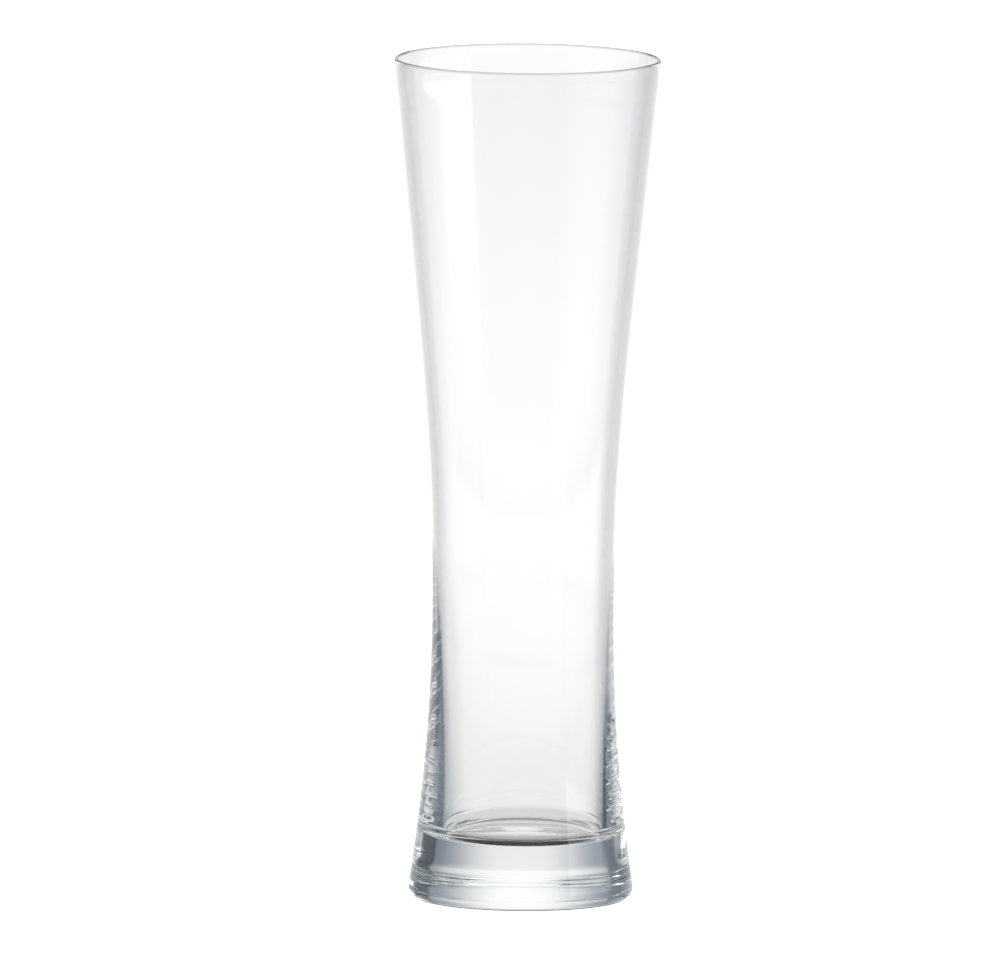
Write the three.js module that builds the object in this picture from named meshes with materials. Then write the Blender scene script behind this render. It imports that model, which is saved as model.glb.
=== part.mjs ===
// A tall half-litre wheat beer glass: heavy solid base, drawn-in grip and a long flared bowl.
// One piece of soda-lime glass, modelled as its four regions, each a closed body of revolution.
// Millimetres, +Z up. The origin is on the axis, in the plane that the glass stands on.

import * as THREE from 'three';

// Overall form
const glassHeight = 254;
const rimDiameter = 80.4;
const waistDiameter = 54.6;
const waistHeight = 89.5;
const baseDiameter = 67.6;

// Outer curve: a lean is in degrees from upright, an ease is the share of a run that holds its direction
const rimLean = 5.6;
const rimEase = 0.53;
const waistEaseAbove = 0.3;
const waistEaseBelow = 0.45;
const heelLean = 8;
const heelEase = 0.25;

// Glass thickness: a thin bowl, a slightly beaded lip, and a straight bore that leaves a thick grip
const wallThickness = 1.0;
const lipThickness = 1.4;
const lipHeight = 8;
const boreInset = 2.7;
const boreEnd = 115;
const boreLean = 2.5;
const boreEaseBelow = 0.45;
const boreEaseAbove = 0.28;

// Solid base: the glass under the drink, and the foot
const baseThickness = 17.8;
const floorFillet = 4.5;
const heelRadius = 3.4;
const standWidth = 4.4;
const puntDepth = 0.3;

// Fineness of the facets
const turnSteps = 64;
const wallStep = 11;
const arcSteps = 6;

const glassRoughness = 0.03;

const waistRadius = waistDiameter / 2;
const baseRadius = baseDiameter / 2;
const rimRadius = rimDiameter / 2;
const boreRadius = waistRadius - boreInset;
const lipRadius = lipThickness / 2;

// Heights where one region passes into the next
const baseTop = baseThickness + floorFillet;
const bowlTop = glassHeight - lipHeight;

// Sideways reach of a line that leans by an angle over a height
function reach(lean, height) {
  return Math.tan(THREE.MathUtils.degToRad(lean)) * height;
}

// A wall line between two places, each with its lean and the height over which the line holds it
function wallLine(lower, upper) {
  return new THREE.CubicBezierCurve(
    new THREE.Vector2(lower.radius, lower.height),
    new THREE.Vector2(lower.radius + reach(lower.lean, lower.hold), lower.height + lower.hold),
    new THREE.Vector2(upper.radius - reach(upper.lean, upper.hold), upper.height - upper.hold),
    new THREE.Vector2(upper.radius, upper.height),
  );
}

// Radius of a wall line at a height: the line always rises, so halving finds the place
function radiusOn(line, height) {
  let low = 0;
  let high = 1;
  for (let halving = 0; halving < 40; halving += 1) {
    const middle = (low + high) / 2;
    if (line.getPoint(middle).y < height) low = middle;
    else high = middle;
  }
  return line.getPoint(low).x;
}

const lowerRun = waistHeight - heelRadius;
const upperRun = glassHeight - waistHeight;
const boreRun = boreEnd - baseTop;

const lowerLine = wallLine(
  { radius: baseRadius, height: heelRadius, lean: -heelLean, hold: heelEase * lowerRun },
  { radius: waistRadius, height: waistHeight, lean: 0, hold: waistEaseBelow * lowerRun },
);

const upperLine = wallLine(
  { radius: waistRadius, height: waistHeight, lean: 0, hold: waistEaseAbove * upperRun },
  { radius: rimRadius, height: glassHeight, lean: rimLean, hold: rimEase * upperRun },
);

function outerRadius(height) {
  return radiusOn(height < waistHeight ? lowerLine : upperLine, height);
}

const boreEndRadius = outerRadius(boreEnd) - wallThickness;

const boreLine = wallLine(
  { radius: boreRadius, height: baseTop, lean: 0, hold: boreEaseBelow * boreRun },
  { radius: boreEndRadius, height: boreEnd, lean: boreLean, hold: boreEaseAbove * boreRun },
);

// Above the bore the wall is even, and swells by a smooth step to the lip
function upperWall(height) {
  const swell = THREE.MathUtils.smoothstep(height, bowlTop, glassHeight - lipRadius);
  return THREE.MathUtils.lerp(wallThickness, lipThickness, swell);
}

function innerRadius(height) {
  if (height < boreEnd) return radiusOn(boreLine, height);
  return outerRadius(height) - upperWall(height);
}

// Places on a wall from one height to another, in equal steps no longer than the wall step
function wallPlaces(radiusAt, from, to) {
  const steps = Math.max(2, Math.ceil(Math.abs(to - from) / wallStep));
  return Array.from({ length: steps + 1 }, (_, step) => {
    const height = THREE.MathUtils.lerp(from, to, step / steps);
    return new THREE.Vector2(radiusAt(height), height);
  });
}

// Places on an arc about a centre, with angles in degrees
function arcPlaces(radius, height, size, from, to) {
  return Array.from({ length: arcSteps + 1 }, (_, step) => {
    const angle = THREE.MathUtils.degToRad(THREE.MathUtils.lerp(from, to, step / arcSteps));
    return new THREE.Vector2(radius + size * Math.cos(angle), height + size * Math.sin(angle));
  });
}

// The shallow dome under the foot, which leaves a flat ring for the glass to stand on
function puntPlaces(puntRadius) {
  return Array.from({ length: arcSteps + 1 }, (_, step) => {
    const share = step / arcSteps;
    return new THREE.Vector2(puntRadius * share, puntDepth * (1 - share * share));
  });
}

function revolve(name, profile, color) {
  const material = new THREE.MeshStandardMaterial({ color, roughness: glassRoughness, metalness: 0 });
  const mesh = new THREE.Mesh(new THREE.LatheGeometry(profile, turnSteps), material);
  mesh.name = name;
  return mesh;
}

function heavyBase() {
  const heelCentre = baseRadius - heelRadius;
  return revolve('heavy_base', [
    ...puntPlaces(heelCentre - standWidth),
    ...arcPlaces(heelCentre, heelRadius, heelRadius, -90, 0),
    ...wallPlaces(outerRadius, heelRadius, baseTop).slice(1),
    ...arcPlaces(boreRadius - floorFillet, baseTop, floorFillet, 0, -90),
    new THREE.Vector2(0, baseThickness),
  ], 0xdfe7ea);
}

// A stretch of the wall, from its outside up and over to its inside and back down
function wallRegion(name, from, to, color) {
  const outside = wallPlaces(outerRadius, from, to);
  const inside = wallPlaces(innerRadius, to, from);
  return revolve(name, [...outside, ...inside, outside[0].clone()], color);
}

// The lip is rounded over, as a fire-polished edge is
function rim() {
  const lipCentre = glassHeight - lipRadius;
  const outside = wallPlaces(outerRadius, bowlTop, lipCentre);
  const inside = wallPlaces(innerRadius, lipCentre, bowlTop);
  const roundOver = arcPlaces(outerRadius(lipCentre) - lipRadius, lipCentre, lipRadius, 0, 180);
  return revolve('rim', [...outside, ...roundOver.slice(1, -1), ...inside, outside[0].clone()], 0xf4f8f9);
}

// A lathe turns its profile about Y, so the whole glass is stood up on Z
const beerGlass = new THREE.Group();
beerGlass.add(
  heavyBase(),
  wallRegion('grip', baseTop, boreEnd, 0xe3ebee),
  wallRegion('bowl', boreEnd, bowlTop, 0xeef4f6),
  rim(),
);
beerGlass.rotation.x = Math.PI / 2;

export default beerGlass;
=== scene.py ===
import math
from functools import partial

import bmesh
import bpy
from mathutils import Matrix, Vector
from mathutils.geometry import interpolate_bezier


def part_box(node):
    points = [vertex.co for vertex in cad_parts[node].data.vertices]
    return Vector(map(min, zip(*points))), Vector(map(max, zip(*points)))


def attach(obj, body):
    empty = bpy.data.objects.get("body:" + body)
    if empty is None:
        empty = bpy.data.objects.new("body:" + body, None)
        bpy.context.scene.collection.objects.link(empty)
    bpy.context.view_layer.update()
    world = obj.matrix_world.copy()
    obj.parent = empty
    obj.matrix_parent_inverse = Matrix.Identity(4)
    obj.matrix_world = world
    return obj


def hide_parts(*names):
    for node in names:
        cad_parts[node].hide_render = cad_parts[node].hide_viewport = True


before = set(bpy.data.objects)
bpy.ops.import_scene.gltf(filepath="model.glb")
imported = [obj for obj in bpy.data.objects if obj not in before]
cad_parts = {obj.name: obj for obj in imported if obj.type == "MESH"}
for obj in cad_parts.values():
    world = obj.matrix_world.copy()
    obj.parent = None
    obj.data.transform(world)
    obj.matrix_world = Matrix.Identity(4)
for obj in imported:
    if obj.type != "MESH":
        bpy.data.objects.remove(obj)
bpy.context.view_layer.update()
scene = bpy.context.scene
print("frame loaded")

# the glass, in metres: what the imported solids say, then the sizes that lie between them
baseNode, gripNode, bowlNode, rimNode = (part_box(n) for n in ("heavy_base", "grip", "bowl", "rim"))
glass = {
    "height": rimNode[1].z,
    "baseTop": gripNode[0].z,         # the floor's fillet ends here
    "boreEnd": bowlNode[0].z,         # the wall is even above this
    "lipStart": rimNode[0].z,
    "baseRadius": baseNode[1].x,
    "rimRadius": 0.0402,
    "waistRadius": 0.0273,
    "waistHeight": 0.0895,
    "rimLean": math.radians(5.6),
    "heelLean": math.radians(8),
    "rimEase": 0.53,                  # shares of a run over which a curve holds its direction
    "waistEaseAbove": 0.3,
    "waistEaseBelow": 0.45,
    "heelEase": 0.25,
    "wall": 0.001,
    "lip": 0.0014,
    "bore": 0.0242,
    "boreShift": 0.0005,              # the bore stands this far off the axis, towards +X,
    "shiftAbove": 0.045,              # and comes back to it above this height
    "boreLean": math.radians(1.2),
    "boreEaseBelow": 0.5,
    "boreEaseAbove": 0.28,
    "floorFillet": 0.0045,
    "heel": 0.0034,
    "standWidth": 0.0044,
    "punt": 0.0003,
    "gripEnd": 0.1,                   # the mesh is finer below this height,
    "fineEnd": 0.06,                  # and finer still inside below this one
    # steps of the mesh along each stretch of the section, and of its spin
    "steps": {
        "dome": 8,
        "stand": 4,
        "heel": 12,
        "gripOutside": 56,
        "bowl": 40,
        "lip": 16,
        "gripInside": 40,
        "fineInside": 136,
        "fillet": 24,
        "floor": 20,
        "turn": 240,
    },
    "curveSteps": 240,                # straight pieces in each wall line
    "samePlace": 1e-6,                # places closer than this are one
}


def wallLine(low, high, steps):
    # a curve between two (radius, height, lean, hold) places, as (radius, height) points
    r0, z0, lean0, hold0 = low
    r1, z1, lean1, hold1 = high
    return interpolate_bezier(
        Vector((r0, z0)),
        Vector((r0 + math.tan(lean0) * hold0, z0 + hold0)),
        Vector((r1 - math.tan(lean1) * hold1, z1 - hold1)),
        Vector((r1, z1)),
        steps,
    )


def radiusOn(line, height):
    for low, high in zip(line, line[1:]):
        if height <= high.y:
            share = (height - low.y) / (high.y - low.y)
            return low.x + (high.x - low.x) * share
    return line[-1].x


def smoothStep(low, high, value):
    share = min(1.0, max(0.0, (value - low) / (high - low)))
    return share * share * (3 - 2 * share)


def makeWalls(g):
    lowerRun = g["waistHeight"] - g["heel"]
    upperRun = g["height"] - g["waistHeight"]
    boreRun = g["boreEnd"] - g["baseTop"]
    lower = wallLine(
        (g["baseRadius"], g["heel"], -g["heelLean"], g["heelEase"] * lowerRun),
        (g["waistRadius"], g["waistHeight"], 0, g["waistEaseBelow"] * lowerRun),
        g["curveSteps"],
    )
    upper = wallLine(
        (g["waistRadius"], g["waistHeight"], 0, g["waistEaseAbove"] * upperRun),
        (g["rimRadius"], g["height"], g["rimLean"], g["rimEase"] * upperRun),
        g["curveSteps"],
    )
    outerLine = lower + upper[1:]
    boreEndRadius = radiusOn(outerLine, g["boreEnd"]) - g["wall"]
    boreLine = wallLine(
        (g["bore"], g["baseTop"], 0, g["boreEaseBelow"] * boreRun),
        (boreEndRadius, g["boreEnd"], g["boreLean"], g["boreEaseAbove"] * boreRun),
        g["curveSteps"],
    )

    def outer(height):
        return radiusOn(outerLine, height)

    def inner(height):
        if height < g["boreEnd"]:
            return radiusOn(boreLine, height)
        swell = smoothStep(g["lipStart"], g["height"] - g["lip"] / 2, height)
        return outer(height) - g["wall"] - (g["lip"] - g["wall"]) * swell

    return outer, inner


outerAt, innerAt = makeWalls(glass)


def evenly(start, end, steps):
    return [start + (end - start) * i / steps for i in range(steps + 1)]


def arc(centre, size, start, end, steps):
    angles = [math.radians(a) for a in evenly(start, end, steps)]
    return [(centre[0] + size * math.cos(a), centre[1] + size * math.sin(a)) for a in angles]


def wallRun(radiusAt, start, end, steps):
    return [(radiusAt(h), h) for h in evenly(start, end, steps)]


def glassProfile(g):
    # once round the section: underside, outside, lip, inside, floor
    steps = g["steps"]
    heel = g["heel"]
    heelCentre = g["baseRadius"] - heel
    puntRadius = heelCentre - g["standWidth"]
    lipRadius = g["lip"] / 2
    lipCentre = g["height"] - lipRadius
    gripEnd = g["gripEnd"]
    fineEnd = g["fineEnd"]
    baseTop = g["baseTop"]
    fillet = g["floorFillet"]
    floorEnd = g["bore"] - fillet
    domeRadii = evenly(0, puntRadius, steps["dome"])
    dome = [(r, g["punt"] * (1 - (r / puntRadius) ** 2)) for r in domeRadii]
    stand = [(r, 0) for r in evenly(puntRadius, heelCentre, steps["stand"])[1:-1]]
    floor = [(r, baseTop - fillet) for r in evenly(floorEnd, 0, steps["floor"])[1:]]
    return (
        dome
        + stand
        + arc((heelCentre, heel), heel, -90, 0, steps["heel"])
        + wallRun(outerAt, heel, gripEnd, steps["gripOutside"])[1:]
        + wallRun(outerAt, gripEnd, lipCentre, steps["bowl"])[1:]
        + arc((outerAt(lipCentre) - lipRadius, lipCentre), lipRadius, 0, 180, steps["lip"])[1:]
        + wallRun(innerAt, lipCentre, gripEnd, steps["bowl"])[1:]
        + wallRun(innerAt, gripEnd, fineEnd, steps["gripInside"])[1:]
        + wallRun(innerAt, fineEnd, baseTop, steps["fineInside"])[1:]
        + arc((floorEnd, baseTop), fillet, 0, -90, steps["fillet"])[1:]
        + floor
    )


# unevenness that the mould's plug leaves inside the thick lower wall, in metres
ripple = {
    "start": 0.0195,
    "full": 0.025,
    "end": 0.056,
    # each ridge: height, half width, depth, and its rise from the front of the sector to its middle
    "right": [
        (0.0246, 0.0008, 0.00007, 0.0002),
        (0.0264, 0.0004, 0.00005, 0.0002),
        (0.0281, 0.0004, 0.00006, 0.0003),
        (0.0294, 0.0003, 0.00004, 0.0001),
        (0.0312, 0.0005, 0.00007, 0.0004),
        (0.0327, 0.0003, 0.00004, 0.0002),
        (0.0341, 0.0004, 0.00006, 0.0002),
        (0.0360, 0.0005, 0.00006, 0.0004),
        (0.0373, 0.0003, 0.00004, 0.0003),
        (0.0391, 0.0005, 0.00007, 0.0004),
        (0.0412, 0.0004, 0.00005, 0.0006),
        (0.0434, 0.0005, 0.00005, 0.0008),
        (0.0462, 0.0005, 0.00004, 0.0010),
        (0.0496, 0.0005, 0.00003, 0.0012),
    ],
    "left": [
        (0.0252, 0.0014, 0.00012, 0.0000),
        (0.0277, 0.0004, 0.00007, 0.0002),
        (0.0313, 0.0003, 0.00003, -0.0003),
        (0.0347, 0.0004, 0.00006, 0.0001),
        (0.0383, 0.0003, 0.00003, -0.0004),
        (0.0411, 0.0003, 0.00004, 0.0002),
        (0.0421, 0.0004, 0.00006, 0.0003),
    ],
    "bellEnd": 3,                     # half widths from its middle at which a ridge is over
    "sector": (64, 69, 90, 99),       # degrees from -Y over which the ridges rise and fade,
    "ragged": 9,                      # each up to this much shorter at both ends,
    "raggedTurn": 2.4,                # by a wave that turns this far from one ridge to the next
    "floorRing": {"depth": 0.00004, "pitch": 0.0026},
}


def rippleAt(plan, place):
    bearing = math.degrees(math.atan2(place.x, -place.y))
    ridges = plan["right" if bearing > 0 else "left"]
    away = abs(bearing)
    rise, full, fade, gone = plan["sector"]
    along = 2 * (away - full) / (fade - full)
    push = 0
    for i, (middle, half, depth, tilt) in enumerate(ridges):
        off = (place.z - middle - tilt * along) / half
        if abs(off) < plan["bellEnd"]:
            inset = plan["ragged"] * (0.5 + 0.5 * math.sin(plan["raggedTurn"] * i))
            ends = smoothStep(rise, full, away - inset) * (1 - smoothStep(fade, gone, away + inset))
            push += depth * math.exp(-off * off) * ends
    return push * smoothStep(plan["start"], plan["full"], place.z)


def roughen(bm, g, plan):
    # the ridges and the floor's rings, then the bore's step aside, which fades up to the even wall
    near = g["samePlace"]
    floorEnd = g["bore"] - g["floorFillet"]
    floorHeight = g["baseTop"] - g["floorFillet"]
    ring = plan["floorRing"]
    for vert in bm.verts:
        reach = math.hypot(vert.co.x, vert.co.y)
        height = vert.co.z
        if height < floorHeight - near or height > g["boreEnd"] or reach > innerAt(height) + near:
            continue
        if height > floorHeight + near:
            if height < plan["end"]:
                push = 1 + rippleAt(plan, vert.co) / reach
                vert.co.x *= push
                vert.co.y *= push
        elif 0 < reach < floorEnd:
            swell = math.cos(math.tau * (floorEnd - reach) / ring["pitch"]) - 1
            vert.co.z += ring["depth"] * swell * smoothStep(0, 1, reach / floorEnd) / 2
        vert.co.x += g["boreShift"] * (1 - smoothStep(g["shiftAbove"], g["boreEnd"], height))


def makeGlassShape(g):
    bm = bmesh.new()
    verts = [bm.verts.new((r, 0, z)) for r, z in glassProfile(g)]
    edges = [bm.edges.new(pair) for pair in zip(verts, verts[1:])]
    bmesh.ops.spin(
        bm,
        geom=verts + edges,
        cent=(0, 0, 0),
        axis=(0, 0, 1),
        angle=math.tau,
        steps=g["steps"]["turn"],
        use_merge=True,
    )
    bmesh.ops.remove_doubles(bm, verts=bm.verts, dist=g["samePlace"])
    bmesh.ops.recalc_face_normals(bm, faces=bm.faces)
    roughen(bm, g, ripple)
    for face in bm.faces:
        face.smooth = True
    return bm


def addObject(name, bm, material):
    mesh = bpy.data.meshes.new(name)
    bm.to_mesh(mesh)
    bm.free()
    mesh.materials.append(material)
    obj = bpy.data.objects.new(name, mesh)
    scene.collection.objects.link(obj)
    return obj


def newMaterial(name):
    material = bpy.data.materials.new(name)
    material.use_nodes = True
    return material, material.node_tree


def feed(tree, socket, value):
    # a value is the output of a node, or what the socket itself holds
    if isinstance(value, bpy.types.NodeSocket):
        tree.links.new(value, socket)
    else:
        socket.default_value = value


def calculate(tree, operation, *values):
    node = tree.nodes.new("ShaderNodeMath")
    node.operation = operation
    for socket, value in zip(node.inputs, values):
        feed(tree, socket, value)
    return node.outputs["Value"]


def ramp(tree, value, start, end, before=0, after=1, shape="SMOOTHSTEP"):
    # one level up to the start and another from the end, and either of the two may be the higher
    limits = (start, end, before, after) if start < end else (end, start, after, before)
    node = tree.nodes.new("ShaderNodeMapRange")
    node.interpolation_type = shape
    feed(tree, node.inputs["Value"], value)
    for name, number in zip(("From Min", "From Max", "To Min", "To Max"), limits):
        node.inputs[name].default_value = number
    return node.outputs["Result"]


def between(tree, value, rise, full, fade, end):
    return calculate(tree, "MULTIPLY", ramp(tree, value, rise, full), ramp(tree, value, fade, end, 1, 0))


def mix(tree, share, under, over):
    node = tree.nodes.new("ShaderNodeMix")
    node.data_type = "RGBA"
    sockets = {socket.identifier: socket for socket in [*node.inputs, *node.outputs]}
    feed(tree, sockets["Factor_Float"], share)
    feed(tree, sockets["A_Color"], under)
    feed(tree, sockets["B_Color"], over)
    return sockets["Result_Color"]


def dim(tree, light, share):
    node = tree.nodes.new("ShaderNodeVectorMath")
    node.operation = "SCALE"
    feed(tree, node.inputs["Vector"], light)
    feed(tree, node.inputs["Scale"], share)
    return node.outputs["Vector"]


def axesOf(tree, vector):
    node = tree.nodes.new("ShaderNodeSeparateXYZ")
    feed(tree, node.inputs["Vector"], vector)
    return [node.outputs[name] for name in "XYZ"]


glassLook = {
    "ior": 1.52,
    "roughness": 0.0,
    "tint": (0.86, 0.9, 0.9, 1),        # a long way through the glass leaves more of this,
    "tintDensity": 4.0,                 # with this strength for each metre
    # painted shade: the glass's base colour greys a little towards the rim
    "paintedRimShade": {"from": 0.165, "to": 0.254, "clear": (1, 1, 1, 1), "grey": (0.95, 0.953, 0.955, 1)},
    # marks finer than the eye sees lean the sides of the bore, with slanted threads left plain:
    # each patch has its heights in metres and its sector in degrees from -Y towards -X
    "drag": {
        "lean": 0.033,
        "insideOf": 0.0267,             # the outside is farther from the axis than this
        "patches": [
            ((0.0455, 0.0475, 0.074, 0.092), (65, 67.5, 82, 88)),
            ((0.0425, 0.0455, 0.052, 0.064), (-86, -80, -71, -69)),
        ],
        "pitch": 0.0042,
        "slant": math.radians(28),
        "distortion": 4,
        "detailScale": 1.5,
        "thread": (0.86, 0.97),         # of the wave's height, where the marks end and a thread is plain
    },
}


def dragNormal(tree, drag, place):
    calc = partial(calculate, tree)
    x, y, z = axesOf(tree, place)
    turn = tree.nodes.new("ShaderNodeMapping")
    turn.inputs["Rotation"].default_value = (drag["slant"], 0, 0)
    feed(tree, turn.inputs["Vector"], place)
    wave = tree.nodes.new("ShaderNodeTexWave")
    wave.bands_direction = "Z"
    unscaledPitch = math.pi / 10        # the texture's own, at a scale of 1
    wave.inputs["Scale"].default_value = unscaledPitch / drag["pitch"]
    wave.inputs["Distortion"].default_value = drag["distortion"]
    wave.inputs["Detail Scale"].default_value = drag["detailScale"]
    feed(tree, wave.inputs["Vector"], turn.outputs["Vector"])
    marked = ramp(tree, wave.outputs["Fac"], *drag["thread"], 1, 0)
    reach = calc("SQRT", calc("ADD", calc("MULTIPLY", x, x), calc("MULTIPLY", y, y)))
    inside = calc("LESS_THAN", reach, drag["insideOf"])
    bearing = calc("DEGREES", calc("ARCTAN2", calc("MULTIPLY", x, -1), calc("MULTIPLY", y, -1)))
    patch = 0
    for heights, sector in drag["patches"]:
        patch = calc("MULTIPLY_ADD", between(tree, z, *heights), between(tree, bearing, *sector), patch)
    bump = tree.nodes.new("ShaderNodeBump")
    bump.inputs["Distance"].default_value = 1
    feed(tree, bump.inputs["Height"], calc("MULTIPLY", z, drag["lean"]))
    feed(tree, bump.inputs["Strength"], calc("MULTIPLY", marked, calc("MULTIPLY", inside, patch)))
    return bump.outputs["Normal"]


def makeGlassMaterial(look):
    material, tree = newMaterial("clear_glass")
    place = tree.nodes.new("ShaderNodeTexCoord").outputs["Object"]
    height = axesOf(tree, place)[2]
    # painted shade: the base colour greys from clear to grey on the way up to the rim
    paintedRimShade = look["paintedRimShade"]
    paintedShadeShare = ramp(tree, height, paintedRimShade["from"], paintedRimShade["to"], shape="LINEAR")
    shader = tree.nodes["Principled BSDF"]
    feed(tree, shader.inputs["Base Color"], mix(tree, paintedShadeShare, paintedRimShade["clear"], paintedRimShade["grey"]))
    feed(tree, shader.inputs["Normal"], dragNormal(tree, look["drag"], place))
    shader.inputs["Roughness"].default_value = look["roughness"]
    shader.inputs["IOR"].default_value = look["ior"]
    shader.inputs["Transmission Weight"].default_value = 1
    absorb = tree.nodes.new("ShaderNodeVolumeAbsorption")
    absorb.inputs["Color"].default_value = look["tint"]
    absorb.inputs["Density"].default_value = look["tintDensity"]
    feed(tree, tree.nodes["Material Output"].inputs["Volume"], absorb.outputs["Volume"])
    return material


beerGlass = addObject("beer_glass", makeGlassShape(glass), makeGlassMaterial(glassLook))
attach(beerGlass, "root")
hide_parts("heavy_base", "grip", "bowl", "rim")
print("glass made:", len(beerGlass.data.polygons), "faces")

# the studio that the glass shows: angles in degrees, azimuth from +Y towards +X
# each panel: middle, half width, softness, lowest and highest elevation, light
studio = {
    "room": (0.02, 0.03, 0.042),
    "panels": {
        "floor": (0, 200, 1, -90, -15, (1, 1, 1)),
        "floor's far edge": (0, 200, 1, -22.2, -15, (0.06, 0.09, 0.12)),
        "front, low": (180, 53, 1, -21, -12, (0.8, 0.8, 0.8)),
        "front, middle": (180, 53, 1, -12, 2, (0.7, 0.7, 0.7)),
        "front, high": (180, 53, 1, 2, 70, (0.32, 0.32, 0.32)),
        "backdrop": (0, 34, 32, -18.8, 42, (1.06, 1.06, 1.06)),
        "floor behind": (0, 12, 6, -90, -17, (1.05, 1.05, 1.05)),
        "left shade": (-65, 38, 19, -22.2, -14, (0.22, 0.27, 0.325)),
        "right shade": (65, 38, 19, -22.2, -14, (0.235, 0.285, 0.34)),
        "left shade, high": (-65, 38, 19, 6, 42, (0.22, 0.27, 0.325)),
        "right shade, high": (65, 38, 19, 6, 42, (0.235, 0.285, 0.34)),
        "left card": (-49, 8, 2, -22.2, 60, (0.16, 0.19, 0.23)),
        "right card": (56, 11, 2, -22.2, 60, (0.07, 0.085, 0.1)),
        "left screen": (-74, 14, 8, -21, 0, (0.7, 0.74, 0.78)),
        "left box": (-112, 26, 12, -12, 8, (0.8, 0.8, 0.8)),
        "left box, low": (-112, 26, 2, -23, -14, (0.9, 0.9, 0.9)),
        "right box": (98.5, 28.5, 12, -12, 8, (0.8, 0.8, 0.8)),
        "right box, low": (98.5, 28.5, 2, -23, -14, (0.9, 0.9, 0.9)),
        "right lamp": (98.5, 28.5, 1, 1.6, 12, (2.1, 2.15, 2.25)),
    },
    "lowSoftness": 0.6,               # of each panel's lower edge, and of its upper one
    "highSoftness": 3,
    "ceiling": {"from": 42, "to": 55, "light": (1.15, 1.15, 1.15)},
    # from one elevation down to another, the share of the light that is left
    "floorFalls": [(-9, -16, 0.86), (-16, -34, 0.78), (-40, -70, 0.6)],
    "behind": (1, 1, 1),              # what the camera itself sees
}


def makeStudio(plan):
    world = bpy.data.worlds.new("studio")
    scene.world = world
    world.use_nodes = True
    tree = world.node_tree
    calc = partial(calculate, tree)
    x, y, z = axesOf(tree, tree.nodes.new("ShaderNodeTexCoord").outputs["Generated"])
    azimuth = calc("DEGREES", calc("ARCTAN2", x, y))
    elevation = calc("DEGREES", calc("ARCSINE", z))
    lowSoft = plan["lowSoftness"]
    highSoft = plan["highSoftness"]
    light = (*plan["room"], 1)
    for at, half, soft, low, high, tone in plan["panels"].values():
        away = calc("ABSOLUTE", calc("WRAP", calc("SUBTRACT", azimuth, at), 180, -180))
        across = ramp(tree, away, half + soft, half - soft)
        above = ramp(tree, elevation, low - lowSoft, low + lowSoft)
        below = ramp(tree, elevation, high + highSoft, high - highSoft)
        mask = calc("MULTIPLY", across, calc("MULTIPLY", above, below))
        light = mix(tree, mask, light, (*tone, 1))
    ceiling = plan["ceiling"]
    overhead = ramp(tree, elevation, ceiling["from"], ceiling["to"])
    light = mix(tree, overhead, light, (*ceiling["light"], 1))
    for high, low, left in plan["floorFalls"]:
        light = dim(tree, light, ramp(tree, elevation, high, low, 1, left))
    seen = tree.nodes.new("ShaderNodeLightPath").outputs["Is Camera Ray"]
    light = mix(tree, seen, light, (*plan["behind"], 1))
    feed(tree, tree.nodes["Background"].inputs["Color"], light)


makeStudio(studio)
print("studio made:", len(studio["panels"]), "panels")

# the camera sees a white floor, and the glass shows the studio's panels in its place
floorPlan = {
    "half": 30.0,
    "albedo": 0.8,
    "ownLight": 0.92,                 # added to what the studio throws on it
    "drop": 0.00005,                  # just clear of the shade and of the glass
}


def makeFloor(plan):
    bm = bmesh.new()
    bmesh.ops.create_grid(bm, x_segments=1, y_segments=1, size=plan["half"])
    bmesh.ops.translate(bm, verts=bm.verts, vec=(0, 0, -plan["drop"]))
    material, tree = newMaterial("white_floor")
    tree.nodes.remove(tree.nodes["Principled BSDF"])
    diffuse = tree.nodes.new("ShaderNodeBsdfDiffuse")
    diffuse.inputs["Color"].default_value = (plan["albedo"],) * 3 + (1,)
    glow = tree.nodes.new("ShaderNodeEmission")
    glow.inputs["Strength"].default_value = plan["ownLight"]
    both = tree.nodes.new("ShaderNodeAddShader")
    feed(tree, both.inputs[0], diffuse.outputs["BSDF"])
    feed(tree, both.inputs[1], glow.outputs["Emission"])
    feed(tree, tree.nodes["Material Output"].inputs["Surface"], both.outputs["Shader"])
    floor = addObject("floor", bm, material)
    floor.visible_transmission = False
    floor.visible_glossy = False


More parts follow.
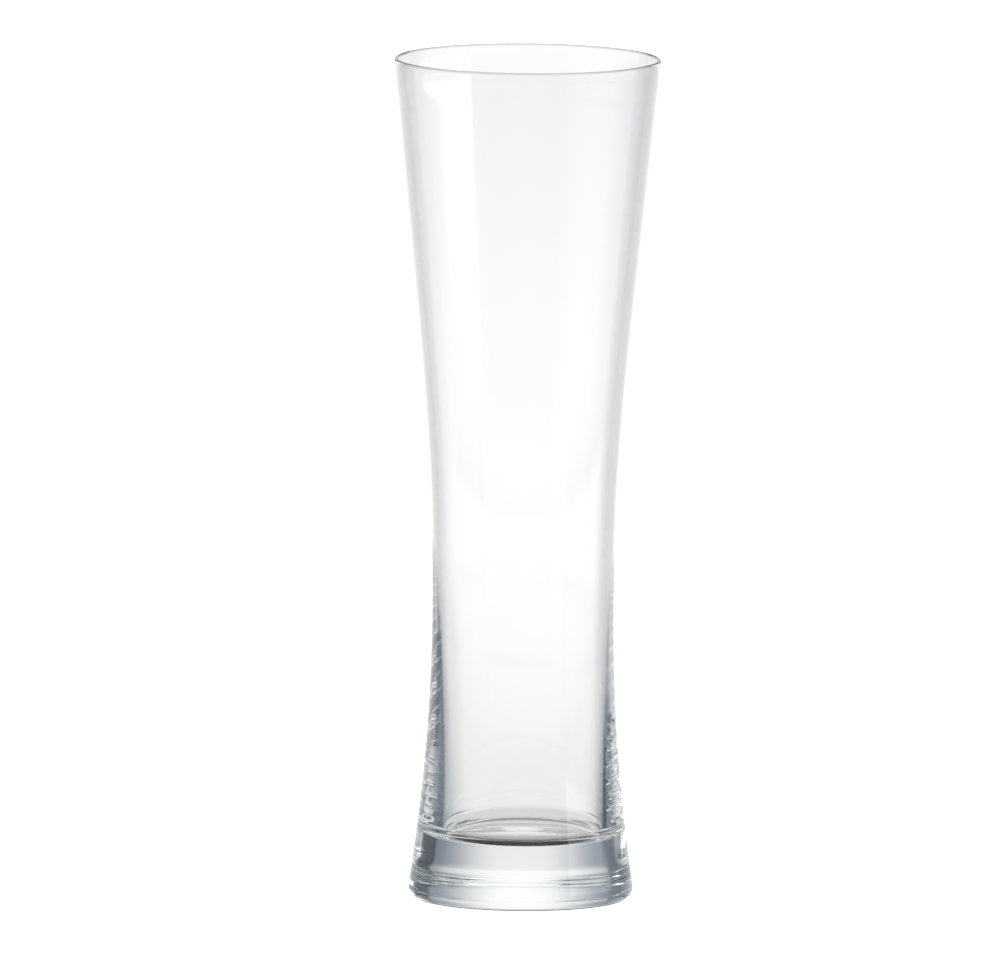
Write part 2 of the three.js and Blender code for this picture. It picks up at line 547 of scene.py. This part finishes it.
makeFloor(floorPlan)

# the light comes from behind, so it gets under the back of the foot but not under the front
footShade = {
    "radius": 0.0313,
    "segments": 96,
    "drop": 0.00004,
    "from": -0.0065,                  # along Y, the front's light ends here,
    "to": -0.0035,                    # and the back's is full here
    "front": 0.012,
    "back": 0.25,
}


def makeFootShade(plan):
    bm = bmesh.new()
    bmesh.ops.create_circle(bm, cap_ends=True, segments=plan["segments"], radius=plan["radius"])
    bmesh.ops.translate(bm, verts=bm.verts, vec=(0, 0, -plan["drop"]))
    material, tree = newMaterial("shaded_floor")
    tree.nodes.remove(tree.nodes["Principled BSDF"])
    depth = axesOf(tree, tree.nodes.new("ShaderNodeTexCoord").outputs["Object"])[1]
    light = ramp(tree, depth, plan["from"], plan["to"], plan["front"], plan["back"])
    glow = tree.nodes.new("ShaderNodeEmission")
    feed(tree, glow.inputs["Strength"], light)
    feed(tree, tree.nodes["Material Output"].inputs["Surface"], glow.outputs["Emission"])
    shade = addObject("foot_shade", bm, material)


makeFootShade(footShade)
print("floor made, with the shade under the foot")

# a long lens from far away, in metres and in millimetres of the sensor
camera = {
    "distance": 12.0,
    "height": 1.6424,
    "aim": (-0.00725, 0, 0.1271),
    "roll": math.radians(0.5),
    "lens": 1448.9,
    "sensor": 36,
}


def makeCamera(plan):
    data = bpy.data.cameras.new("camera")
    data.lens = plan["lens"]
    data.sensor_width = plan["sensor"]
    obj = bpy.data.objects.new("camera", data)
    scene.collection.objects.link(obj)
    place = Vector((0, -plan["distance"], plan["height"]))
    look = (Vector(plan["aim"]) - place).to_track_quat("-Z", "Y")
    turn = look.to_matrix().to_4x4() @ Matrix.Rotation(plan["roll"], 4, "Z")
    obj.matrix_world = Matrix.Translation(place) @ turn
    scene.camera = obj


makeCamera(camera)
scene.view_settings.view_transform = "Standard"
glassBounces = 160                    # light runs a long way round inside the glass
scene.cycles.max_bounces = glassBounces
scene.cycles.glossy_bounces = glassBounces
scene.cycles.transmission_bounces = glassBounces
print("camera ready")
